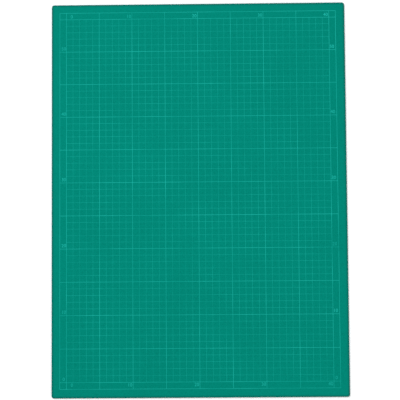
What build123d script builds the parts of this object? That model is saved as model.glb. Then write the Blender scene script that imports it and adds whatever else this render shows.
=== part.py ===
from build123d import *
import os

# A large green self-healing cutting mat with a centimetre grid printed on its top face.
# It is built as the real one is: five sheets laminated face to face and cut out with one
# die, then printed with one thin layer of ink. Nothing on it moves.
# Millimetres. The origin is the middle of the underside. +X runs across the mat, +Y along
# its long side towards the high end of the printed scale, and +Z up out of the table.

# The whole mat
mat_width = 446.0
mat_length = 596.0
corner_radius = 3.5
rim_rounding = 0.4  # the die presses the upper and the lower rim round

# The sheets
healing_sheet_thickness = 0.8  # soft PVC that closes behind the blade, on both faces
stiffening_sheet_thickness = 0.25  # hard film on each side of the core
core_sheet_thickness = 0.9

# The print
fine_pitch = 10.0
fine_squares_per_heavy = 5
fine_line_width = 0.3
heavy_line_width = 0.5
frame_line_width = 0.5
frame_distance = 10.0  # from the middle of the grid's outer lines to the middle of the frame line
bare_rim_width = 10.0  # least unprinted strip outside the frame line
ink_thickness = 0.05
print_shift_x = -0.7  # the print sits a little off the middle of the mat
print_shift_y = 0.45

# What follows from these sizes
heavy_pitch = fine_pitch * fine_squares_per_heavy
margin = frame_distance + bare_rim_width
columns = int((mat_width - 2 * margin) // heavy_pitch)
rows = int((mat_length - 2 * margin) // heavy_pitch)
grid_width = columns * heavy_pitch
grid_length = rows * heavy_pitch

# The laminate from the table up: each sheet's name and thickness
laminate = [
    ("bottom_healing_sheet", healing_sheet_thickness),
    ("lower_stiffening_sheet", stiffening_sheet_thickness),
    ("core_sheet", core_sheet_thickness),
    ("upper_stiffening_sheet", stiffening_sheet_thickness),
    ("top_healing_sheet", healing_sheet_thickness),
]


def cut_sheet(thickness):
    """One sheet with the outline that the die cuts, lying on the XY plane."""
    return extrude(RectangleRounded(mat_width, mat_length, corner_radius), thickness)


def round_rim(sheet, outer_face):
    """Rounds the edge all round one face of a sheet."""
    return fillet(outer_face.edges(), rim_rounding)


def build_laminate():
    """Stacks the five sheets, and gives them by name with the height of the top face."""
    stack = {}
    height = 0
    for name, thickness in laminate:
        stack[name] = Pos(0, 0, height) * cut_sheet(thickness)
        height += thickness
    bottom = stack["bottom_healing_sheet"]
    top = stack["top_healing_sheet"]
    stack["bottom_healing_sheet"] = round_rim(bottom, bottom.faces().sort_by(Axis.Z)[0])
    stack["top_healing_sheet"] = round_rim(top, top.faces().sort_by(Axis.Z)[-1])
    return stack, height


def ruled(across, up, count_across, count_up, pitch, line_width):
    """Sketch of straight ink lines that cross: upright ones `up` long, level ones `across` long."""
    upright = GridLocations(pitch, 0, count_across, 1) * Rectangle(line_width, up)
    level = GridLocations(0, pitch, 1, count_up) * Rectangle(across, line_width)
    return Sketch() + upright + level


def fine_grid_print():
    """Fine lines. They stop against the heavy lines, so each heavy square has its own patch."""
    inner = fine_squares_per_heavy - 1
    reach = heavy_pitch - heavy_line_width
    patch = extrude(ruled(reach, reach, inner, inner, fine_pitch, fine_line_width), ink_thickness)
    return Compound(GridLocations(heavy_pitch, heavy_pitch, columns, rows) * patch)


def heavy_grid_print():
    """Heavy lines. They run on past the grid and stop against the frame line."""
    overrun = frame_distance - frame_line_width / 2
    across = grid_width + 2 * overrun
    up = grid_length + 2 * overrun
    lines = ruled(across, up, columns + 1, rows + 1, heavy_pitch, heavy_line_width)
    return extrude(lines, ink_thickness)


def frame_line_print():
    """The closed line round the grid."""
    width = grid_width + 2 * frame_distance
    length = grid_length + 2 * frame_distance
    outside = Rectangle(width + frame_line_width, length + frame_line_width)
    inside = Rectangle(width - frame_line_width, length - frame_line_width)
    return extrude(outside - inside, ink_thickness)


pieces, top_face_height = build_laminate()
print_place = Pos(print_shift_x, print_shift_y, top_face_height)
pieces["fine_grid_print"] = print_place * fine_grid_print()
pieces["heavy_grid_print"] = print_place * heavy_grid_print()
pieces["frame_line_print"] = print_place * frame_line_print()

os.makedirs("parts", exist_ok=True)
for name, piece in pieces.items():
    export_step(piece, f"parts/{name}.step", write_pcurves=False)
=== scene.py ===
import math

import bpy
from mathutils import Matrix, Vector


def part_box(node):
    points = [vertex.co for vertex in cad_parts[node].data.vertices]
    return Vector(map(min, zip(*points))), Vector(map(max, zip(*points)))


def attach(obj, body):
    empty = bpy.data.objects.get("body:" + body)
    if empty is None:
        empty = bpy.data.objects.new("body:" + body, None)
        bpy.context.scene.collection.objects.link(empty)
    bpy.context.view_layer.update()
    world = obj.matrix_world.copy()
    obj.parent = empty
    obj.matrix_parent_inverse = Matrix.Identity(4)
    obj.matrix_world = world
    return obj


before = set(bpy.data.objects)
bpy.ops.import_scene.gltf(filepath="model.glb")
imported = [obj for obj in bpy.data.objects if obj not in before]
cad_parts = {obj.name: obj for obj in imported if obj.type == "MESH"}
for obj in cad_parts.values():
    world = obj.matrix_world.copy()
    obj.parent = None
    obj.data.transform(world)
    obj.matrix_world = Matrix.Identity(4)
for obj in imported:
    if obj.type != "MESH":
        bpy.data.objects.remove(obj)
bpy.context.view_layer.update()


# Core sheet
# The thick middle ply of the laminate, which gives the mat its body. It is calendered from
# reground hard PVC. Only its cut edge shows, as a dull dark line in the mat's edge.

def linear(hex_colour):
    """An sRGB colour such as "2FA48E" as the linear colour that a shader takes."""
    channels = [int(hex_colour[place:place + 2], 16) / 255 for place in (0, 2, 4)]
    return [c / 12.92 if c <= 0.04045 else ((c + 0.055) / 1.055) ** 2.4 for c in channels] + [1.0]


def add_node(tree, kind, values=None, links=None, **settings):
    """Adds one node with its settings, its inputs' values and the outputs linked to its inputs.

    Inputs go by their identifiers, which tell a Mix node's colours from its numbers."""
    node = tree.nodes.new(kind)
    for name, setting in settings.items():
        setattr(node, name, setting)
    inputs = {socket.identifier: socket for socket in node.inputs}
    for name, value in (values or {}).items():
        inputs[name].default_value = value
    for name, source in (links or {}).items():
        tree.links.new(source, inputs[name])
    return node


def output(node, identifier):
    """One output of a node by its identifier."""
    return next(socket for socket in node.outputs if socket.identifier == identifier)


def start_material(name, uniform):
    """A material whose shader has these uniform values: returns it with its tree and shader."""
    material = bpy.data.materials.new(name)
    material.use_nodes = True
    shader = material.node_tree.nodes["Principled BSDF"]
    for socket, value in uniform.items():
        shader.inputs[socket].default_value = value
    return material, material.node_tree, shader


def dress(node_name, material):
    """Gives a CAD node its material."""
    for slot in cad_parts[node_name].material_slots:
        slot.material = material


# Reground hard PVC, calendered: a dull dark green with crumbs of paler trimmings in the cut
crumb_size = 0.0009  # trimmings are milled to crumbs of about a millimetre
crumb_depth = crumb_size / 4
regrind_pvc, tree, shader = start_material(
    "calendered_regrind_pvc",
    {"Roughness": 0.62, "IOR": 1.53, "Specular IOR Level": 0.4})
place = add_node(tree, "ShaderNodeTexCoord").outputs["Object"]
crumbs = add_node(
    tree, "ShaderNodeTexNoise",
    {"Scale": 1 / crumb_size, "Detail": 2.0, "Roughness": 0.6},
    {"Vector": place})
crumb_colour = add_node(
    tree, "ShaderNodeMix",
    {"A_Color": linear("0C3A33"), "B_Color": linear("2E6A60")},
    {"Factor_Float": crumbs.outputs["Fac"]},
    data_type="RGBA")
torn_cut = add_node(
    tree, "ShaderNodeBump",
    {"Strength": 0.5, "Distance": crumb_depth},
    {"Height": crumbs.outputs["Fac"]})
tree.links.new(output(crumb_colour, "Result_Color"), shader.inputs["Base Color"])
tree.links.new(torn_cut.outputs["Normal"], shader.inputs["Normal"])
dress("core_sheet", regrind_pvc)


# Stiffening films
# One hard white PVC film on each side of the core, bonded over its whole area, so that the mat
# springs back flat. They show only in the cut edge, as two thin pale lines.

# Rigid PVC film, calendered: off-white and satin, a little milky where the die sheared it
shear_mark = 0.004  # the die turns the film milky in stretches of a few millimetres
rigid_film, tree, shader = start_material(
    "rigid_pvc_film",
    {"Roughness": 0.38, "IOR": 1.54, "Subsurface Weight": 0.1, "Subsurface Scale": 0.0005})
place = add_node(tree, "ShaderNodeTexCoord").outputs["Object"]
milkiness = add_node(
    tree, "ShaderNodeTexNoise",
    {"Scale": 1 / shear_mark, "Detail": 3.0},
    {"Vector": place})
film_colour = add_node(
    tree, "ShaderNodeMix",
    {"A_Color": linear("B9C4BD"), "B_Color": linear("E6E8E1")},
    {"Factor_Float": milkiness.outputs["Fac"]},
    data_type="RGBA")
tree.links.new(output(film_colour, "Result_Color"), shader.inputs["Base Color"])
for film in ("lower_stiffening_sheet", "upper_stiffening_sheet"):
    dress(film, rigid_film)


# Healing sheets
# The two outer plies: soft filled PVC, which parts around the blade and closes behind it. They
# are calendered between grained rollers, pressed hot onto the films, and die-cut with the rest.

# Soft filled PVC, grained: a deep green that drinks light, its gloss broken by a pebble grain,
# with painted highlight and shade over the pebbles and painted shade darkening the rim
grain_size = 0.0010  # the real pebbles are about 0.3 mm, drawn coarser so that they show at all
grain_depth = 0.00006
crazing_size = grain_size / 2  # fine wrinkles over the pebbles
pebble_painted_highlight = 1.12  # painted highlight: the green on top of a pebble, times the plain green
valley_painted_shade = 0.80  # painted shade: the green between pebbles
pebble_roughness = 0.74
valley_roughness = 0.60
batch_cloud = 0.11  # slow change of shade where the filler is a little richer
cut_streak = 0.0006  # the die leaves upright streaks on the cut edge
streak_slowing = 0.03  # how fast the streaks change up the edge, over how fast along it
rim_painted_shade_width = 0.0045  # painted shade of the rim, from the outline inwards, fading out
soft_pvc, tree, shader = start_material(
    "grained_soft_pvc",
    {"IOR": 1.52, "Specular IOR Level": 0.2, "Specular Tint": linear("2FE0C8")})
place = add_node(tree, "ShaderNodeTexCoord").outputs["Object"]
cloud = add_node(
    tree, "ShaderNodeTexNoise",
    {"Scale": 1 / batch_cloud, "Detail": 3.0, "Roughness": 0.45},
    {"Vector": place})
green = add_node(
    tree, "ShaderNodeMix",
    {"A_Color": linear("007463"), "B_Color": linear("007B6A")},
    {"Factor_Float": cloud.outputs["Fac"]},
    data_type="RGBA")
facing = add_node(
    tree, "ShaderNodeSeparateXYZ",
    links={"Vector": add_node(tree, "ShaderNodeNewGeometry").outputs["Normal"]})
on_face = add_node(
    tree, "ShaderNodeMath",
    links={"Value": facing.outputs["Z"]},
    operation="ABSOLUTE")

# The rim's painted shade starts where the four quarters, folded onto one, pass the corner of the
# plain face
sheet_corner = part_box("top_healing_sheet")[1]
plain_corner = Vector((
    sheet_corner.x - rim_painted_shade_width, sheet_corner.y - rim_painted_shade_width, sheet_corner.z))
one_quarter = add_node(
    tree, "ShaderNodeVectorMath",
    links={"Vector": place},
    operation="ABSOLUTE")
past_corner = add_node(
    tree, "ShaderNodeVectorMath",
    {"Vector_001": plain_corner},
    {"Vector": one_quarter.outputs["Vector"]},
    operation="SUBTRACT")
into_rim = add_node(
    tree, "ShaderNodeVectorMath",
    {"Vector_001": (0.0, 0.0, 0.0)},
    {"Vector": past_corner.outputs["Vector"]},
    operation="MAXIMUM")
reach = add_node(
    tree, "ShaderNodeVectorMath",
    links={"Vector": into_rim.outputs["Vector"]},
    operation="LENGTH")
rim_painted_shade_mask = add_node(
    tree, "ShaderNodeMapRange",
    {"From Max": rim_painted_shade_width},
    {"Value": reach.outputs["Value"]},
    interpolation_type="SMOOTHSTEP")
# Painted shade: towards the outline the green is mixed with a darker green
green_with_rim_painted_shade = add_node(
    tree, "ShaderNodeMix",
    {"B_Color": linear("085B50")},
    {"Factor_Float": rim_painted_shade_mask.outputs["Result"], "A_Color": output(green, "Result_Color")},
    data_type="RGBA")

# Pebbles with crazing on the faces, streaks on the cut edge
pebbles = add_node(
    tree, "ShaderNodeTexVoronoi",
    {"Scale": 1 / grain_size},
    {"Vector": place},
    feature="F1")
crazing = add_node(
    tree, "ShaderNodeTexNoise",
    {"Scale": 1 / crazing_size, "Detail": 2.0, "Roughness": 0.7},
    {"Vector": place})
grain = add_node(
    tree, "ShaderNodeMath",
    links={"Value": crazing.outputs["Fac"], "Value_001": pebbles.outputs["Distance"]},
    operation="SUBTRACT")
streak_place = add_node(
    tree, "ShaderNodeMapping",
    {"Scale": (1.0, 1.0, streak_slowing)},
    {"Vector": place})
streaks = add_node(
    tree, "ShaderNodeTexNoise",
    {"Scale": 1 / cut_streak, "Detail": 1.0},
    {"Vector": streak_place.outputs["Vector"]})
# Painted highlight and shade: the green is lighter on the pebble tops, darker in the valleys
valley_shade = add_node(
    tree, "ShaderNodeMapRange",
    {"To Min": pebble_painted_highlight, "To Max": valley_painted_shade},
    {"Value": pebbles.outputs["Distance"]})
shaded_green = add_node(
    tree, "ShaderNodeVectorMath",
    links={"Vector": output(green_with_rim_painted_shade, "Result_Color"), "Scale": valley_shade.outputs["Result"]},
    operation="SCALE")
relief = add_node(
    tree, "ShaderNodeMix",
    links={
        "Factor_Float": on_face.outputs["Value"],
        "A_Float": streaks.outputs["Fac"],
        "B_Float": grain.outputs["Value"],
    })
grained = add_node(
    tree, "ShaderNodeBump",
    {"Strength": 1.0, "Distance": grain_depth},
    {"Height": output(relief, "Result_Float")})
dullness = add_node(
    tree, "ShaderNodeMapRange",
    {"To Min": valley_roughness, "To Max": pebble_roughness},
    {"Value": grain.outputs["Value"]})
tree.links.new(shaded_green.outputs["Vector"], shader.inputs["Base Color"])
tree.links.new(dullness.outputs["Result"], shader.inputs["Roughness"])
tree.links.new(grained.outputs["Normal"], shader.inputs["Normal"])
for sheet in ("bottom_healing_sheet", "top_healing_sheet"):
    dress(sheet, soft_pvc)


# Printed grid
# Fine centimetre lines, heavy lines every five centimetres, and the frame line round them. All
# are one pass of vinyl ink, pulled through a screen onto the top sheet and oven-dried.

# Vinyl screen ink: a pale green film, thinner wherever the mesh of the screen held it back
mesh_mark = 0.0025  # the real mesh is about 0.1 mm, drawn coarser so that it shows at all
squeegee_drift = 0.06  # the squeegee's pressure drifts, so stretches of line come out thinner
mesh_share = 0.3  # of the unevenness, the rest is the squeegee's
light_stroke = 0.35  # where the drift is below this, the line is starved of ink
full_stroke = 0.65  # where the drift is above this, the line is flooded


def pull_ink(name, starved, flooded):
    """The ink as a screen leaves it, from where it was starved of ink to where it was flooded."""
    ink, tree, shader = start_material(
        name,
        {
            "Roughness": 0.48,
            "IOR": 1.5,
            "Specular IOR Level": 0.25,
            "Specular Tint": linear("40E8DC"),
        })
    place = add_node(tree, "ShaderNodeTexCoord").outputs["Object"]
    mesh_marks = add_node(
        tree, "ShaderNodeTexNoise",
        {"Scale": 1 / mesh_mark, "Detail": 2.0, "Roughness": 0.6},
        {"Vector": place})
    pressure = add_node(
        tree, "ShaderNodeTexNoise",
        {"Scale": 1 / squeegee_drift, "Detail": 2.0},
        {"Vector": place})
    deposit = add_node(
        tree, "ShaderNodeMapRange",
        {"From Min": light_stroke, "From Max": full_stroke},
        {"Value": pressure.outputs["Fac"]})
    film = add_node(
        tree, "ShaderNodeMix",
        {"Factor_Float": mesh_share},
        {"A_Float": deposit.outputs["Result"], "B_Float": mesh_marks.outputs["Fac"]})
    colour = add_node(
        tree, "ShaderNodeMix",
        {"A_Color": linear(starved), "B_Color": linear(flooded)},
        {"Factor_Float": output(film, "Result_Float")},
        data_type="RGBA")
    pinholes = add_node(
        tree, "ShaderNodeBump",
        {"Strength": 0.4, "Distance": grain_depth},
        {"Height": mesh_marks.outputs["Fac"]})
    tree.links.new(output(colour, "Result_Color"), shader.inputs["Base Color"])
    tree.links.new(pinholes.outputs["Normal"], shader.inputs["Normal"])
    return ink


# A hairline opening in the screen passes a thinner film than a wide one
screen_ink = pull_ink("vinyl_screen_ink", "0B8D7D", "21AFA0")
hairline_ink = pull_ink("vinyl_screen_ink_hairline", "098776", "1BA797")
dress("fine_grid_print", hairline_ink)
for print_name in ("heavy_grid_print", "frame_line_print"):
    dress(print_name, screen_ink)


# Scale numerals
# Tens of centimetres, counted from the low left corner and printed in the strip between the
# grid and the frame line, on all four sides. They are part of the same pass of ink.

body = "root"  # nothing on the mat moves, so the numerals ride on its one body
heavy_pitch = 0.05
lines_per_numeral = 2  # every second heavy line has a numeral
numeral_step = lines_per_numeral * heavy_pitch
value_step = 10  # centimetres
digit_height = 0.005
digit_share = 0.70  # a digit's height over the size of its type
above_line = 0.0048  # middle of a numeral over its own line, on the long sides
before_line = 0.0048  # middle of a numeral left of its own line, on the short sides
zero_past_line = 0.0082  # the short sides' zero stands right of the first line instead
off_grid = 0.0041  # middle of a numeral from the grid's outer line
outline_points = 3  # on each curved stretch of a digit
closing_distance = 0.000002  # points nearer than this become one

ink_low, ink_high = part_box("heavy_grid_print")
fine_low, fine_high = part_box("fine_grid_print")
grid_middle = (fine_low + fine_high) / 2
columns = round((fine_high.x - fine_low.x) / heavy_pitch)
rows = round((fine_high.y - fine_low.y) / heavy_pitch)
grid_width = columns * heavy_pitch
grid_length = rows * heavy_pitch
grid_corner = Vector((grid_middle.x - grid_width / 2, grid_middle.y - grid_length / 2, ink_low.z))

numeral_tree = bpy.data.node_groups.new("printed_numerals", "GeometryNodeTree")
for name, kind in (
    ("Numerals", "Int"),
    ("Value Step", "Int"),
    ("First Place", "Vector"),
    ("Step", "Vector"),
    ("Zero Shift", "Vector"),
    ("Far Side", "Vector"),
    ("Type Size", "Float"),
    ("Outline Points", "Int"),
    ("Ink Thickness", "Float"),
    ("Closing Distance", "Float"),
    ("Ink", "Material"),
):
    numeral_tree.interface.new_socket(name, in_out="INPUT", socket_type="NodeSocket" + kind)
numeral_tree.interface.new_socket("Numerals", in_out="OUTPUT", socket_type="NodeSocketGeometry")
sizes = add_node(numeral_tree, "NodeGroupInput").outputs

# One turn of the loop for each numeral: its value, its outline and its place
turn = numeral_tree.nodes.new("GeometryNodeRepeatInput")
turned = numeral_tree.nodes.new("GeometryNodeRepeatOutput")
turn.pair_with_output(turned)
numeral_tree.links.new(sizes["Numerals"], turn.inputs["Iterations"])
value = add_node(
    numeral_tree, "FunctionNodeIntegerMath",
    links={"Value": turn.outputs["Iteration"], "Value_001": sizes["Value Step"]},
    operation="MULTIPLY")
digits = add_node(
    numeral_tree, "FunctionNodeValueToString",
    links={"Value": value.outputs["Value"]})
outline = add_node(
    numeral_tree, "GeometryNodeStringToCurves",
    links={"String": digits.outputs["String"], "Size": sizes["Type Size"]},
    align_x="CENTER", align_y="MIDDLE")
coarse_outline = add_node(
    numeral_tree, "GeometryNodeSetSplineResolution",
    links={"Geometry": outline.outputs["Curve Instances"], "Resolution": sizes["Outline Points"]})
filled = add_node(
    numeral_tree, "GeometryNodeFillCurve",
    links={"Curve": coarse_outline.outputs["Geometry"]})
steps_along = add_node(
    numeral_tree, "ShaderNodeVectorMath",
    links={"Vector": sizes["Step"], "Scale": turn.outputs["Iteration"]},
    operation="SCALE")
is_zero = add_node(
    numeral_tree, "FunctionNodeCompare",
    links={"A_INT": value.outputs["Value"]},
    data_type="INT", operation="EQUAL")
zero_shift = add_node(
    numeral_tree, "ShaderNodeVectorMath",
    links={"Vector": sizes["Zero Shift"], "Scale": is_zero.outputs["Result"]},
    operation="SCALE")
line_place = add_node(
    numeral_tree, "ShaderNodeVectorMath",
    links={"Vector": sizes["First Place"], "Vector_001": steps_along.outputs["Vector"]},
    operation="ADD")
numeral_place = add_node(
    numeral_tree, "ShaderNodeVectorMath",
    links={"Vector": line_place.outputs["Vector"], "Vector_001": zero_shift.outputs["Vector"]},
    operation="ADD")
placed = add_node(
    numeral_tree, "GeometryNodeTransform",
    links={"Geometry": filled.outputs["Mesh"], "Translation": numeral_place.outputs["Vector"]})
gathered = add_node(numeral_tree, "GeometryNodeJoinGeometry")
numeral_tree.links.new(turn.outputs["Geometry"], gathered.inputs["Geometry"])
numeral_tree.links.new(placed.outputs["Geometry"], gathered.inputs["Geometry"])
numeral_tree.links.new(gathered.outputs["Geometry"], turned.inputs["Geometry"])

# The flat digits get the ink's thickness and a floor, and the row is repeated on the far side
flat = add_node(
    numeral_tree, "GeometryNodeRealizeInstances",
    links={"Geometry": turned.outputs["Geometry"]})
raised = add_node(
    numeral_tree, "GeometryNodeExtrudeMesh",
    {"Individual": False},
    {"Mesh": flat.outputs["Geometry"], "Offset Scale": sizes["Ink Thickness"]})
underside = add_node(
    numeral_tree, "GeometryNodeFlipFaces",
    links={"Mesh": flat.outputs["Geometry"]})
both_faces = add_node(numeral_tree, "GeometryNodeJoinGeometry")
numeral_tree.links.new(raised.outputs["Mesh"], both_faces.inputs["Geometry"])
numeral_tree.links.new(underside.outputs["Mesh"], both_faces.inputs["Geometry"])
closed = add_node(
    numeral_tree, "GeometryNodeMergeByDistance",
    links={"Geometry": both_faces.outputs["Geometry"], "Distance": sizes["Closing Distance"]})
sides = add_node(
    numeral_tree, "GeometryNodeMeshLine",
    {"Count": 2},
    {"Offset": sizes["Far Side"]})
rows_of_numerals = add_node(
    numeral_tree, "GeometryNodeInstanceOnPoints",
    links={"Points": sides.outputs["Mesh"], "Instance": closed.outputs["Geometry"]})
real = add_node(
    numeral_tree, "GeometryNodeRealizeInstances",
    links={"Geometry": rows_of_numerals.outputs["Instances"]})
inked = add_node(
    numeral_tree, "GeometryNodeSetMaterial",
    links={"Geometry": real.outputs["Geometry"], "Material": sizes["Ink"]})
result = add_node(numeral_tree, "NodeGroupOutput")
numeral_tree.links.new(inked.outputs["Geometry"], result.inputs["Numerals"])


def plain_mesh(name, tree, values):
    """Runs a tree with these inputs, once, and returns a plain mesh object of what it makes."""
    carrier = bpy.data.objects.new(name + "_carrier", bpy.data.meshes.new(name + "_seed"))
    bpy.context.scene.collection.objects.link(carrier)
    modifier = carrier.modifiers.new(name, "NODES")
    modifier.node_group = tree
    for socket in tree.interface.items_tree:
        if socket.in_out == "INPUT":
            modifier[socket.identifier] = values[socket.name]
    evaluated = carrier.evaluated_get(bpy.context.evaluated_depsgraph_get())
    mesh = bpy.data.meshes.new_from_object(evaluated)
    mesh.name = name
    piece = bpy.data.objects.new(name, mesh)
    bpy.context.scene.collection.objects.link(piece)
    bpy.data.objects.remove(carrier)
    return piece


whole_scale = {
    "Value Step": value_step,
    "Type Size": digit_height / digit_share,
    "Outline Points": outline_points,
    "Ink Thickness": ink_high.z - ink_low.z,
    "Closing Distance": closing_distance,
    "Ink": screen_ink,
}
numerals = {
    "long_side_numerals": {
        "Numerals": rows // lines_per_numeral + 1,
        "First Place": grid_corner + Vector((-off_grid, above_line, 0)),
        "Step": Vector((0, numeral_step, 0)),
        "Zero Shift": Vector((0, 0, 0)),
        "Far Side": Vector((grid_width + 2 * off_grid, 0, 0)),
    },
    "short_side_numerals": {
        "Numerals": columns // lines_per_numeral + 1,
        "First Place": grid_corner + Vector((-before_line, -off_grid, 0)),
        "Step": Vector((numeral_step, 0, 0)),
        "Zero Shift": Vector((before_line + zero_past_line, 0, 0)),
        "Far Side": Vector((0, grid_length + 2 * off_grid, 0)),
    },
}
for name, places in numerals.items():
    piece = plain_mesh(name, numeral_tree, whole_scale | places)
    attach(piece, body)


# Table, light and camera
# The mat lies on white studio paper and is photographed from nearly straight above, a little
# from its low end. One softbox hangs past its far left corner, and a second one, further off,
# past its near right corner.

paper_size = 12.0
under_mat = -0.0002  # just clear of the underside
bpy.ops.mesh.primitive_plane_add(size=paper_size, location=(0, 0, under_mat))
table = bpy.context.object
table.name = "studio_paper"

# Uncoated paper: white and matt, a touch cloudy where the pulp is denser
fibre_cloud = 0.6
studio_paper, tree, shader = start_material(
    "studio_paper", {"Roughness": 0.9, "Specular IOR Level": 0.1})
place = add_node(tree, "ShaderNodeTexCoord").outputs["Object"]
fibres = add_node(tree, "ShaderNodeTexNoise", {"Scale": 1 / fibre_cloud}, {"Vector": place})
paper_colour = add_node(
    tree, "ShaderNodeMix",
    {"A_Color": linear("F2F2F1"), "B_Color": linear("F6F6F5")},
    {"Factor_Float": fibres.outputs["Fac"]},
    data_type="RGBA")
tree.links.new(output(paper_colour, "Result_Color"), shader.inputs["Base Color"])
table.data.materials.append(studio_paper)


def add_softbox(name, place, side, power, colour):
    """A square soft light that faces the middle of the mat."""
    lamp = bpy.data.lights.new(name, "AREA")
    lamp.shape = "SQUARE"
    lamp.size = side
    lamp.energy = power
    lamp.color = linear(colour)[:3]
    softbox = bpy.data.objects.new(name, lamp)
    softbox.location = place
    softbox.rotation_euler = (-Vector(place)).to_track_quat("-Z", "Y").to_euler()
    bpy.context.scene.collection.objects.link(softbox)


softbox_side = 1.6
key_place = (-0.95, 0.9, 2.1)
key_power = 36.0
fill_place = (2.2, -1.8, 2.4)
fill_power = 32.0
add_softbox("key_softbox", key_place, softbox_side, key_power, "EAF4FF")
add_softbox("fill_softbox", fill_place, softbox_side, fill_power, "FFFFFF")

room_strength = 0.76  # white walls that throw light back from all round
world = bpy.data.worlds.new("studio_room")
world.use_nodes = True
room = world.node_tree.nodes["Background"]
room.inputs["Color"].default_value = linear("FFFFFF")
room.inputs["Strength"].default_value = room_strength
bpy.context.scene.world = world

# The viewpoint that puts the printed grid and the outline where the photograph has them
camera_place = Vector((0.0292, -0.1364, 1.9149))
aim = Vector((0.00125, -0.00203, ink_low.z))
camera_roll = math.radians(-0.41)
focal_length = 114.28  # millimetres, and not metres as every other length here
sensor_width = 36.0  # millimetres too
forward = (aim - camera_place).normalized()
level_right = forward.cross(Vector((0, 1, 0))).normalized()
right = Matrix.Rotation(-camera_roll, 3, forward) @ level_right
up = right.cross(forward)
lens = bpy.data.cameras.new("camera")
lens.lens = focal_length
lens.sensor_width = sensor_width
camera = bpy.data.objects.new("camera", lens)
turned_to_mat = Matrix((right, up, -forward)).transposed().to_4x4()
camera.matrix_world = Matrix.Translation(camera_place) @ turned_to_mat
bpy.context.scene.collection.objects.link(camera)
bpy.context.scene.camera = camera
bpy.context.scene.view_settings.view_transform = "Standard"
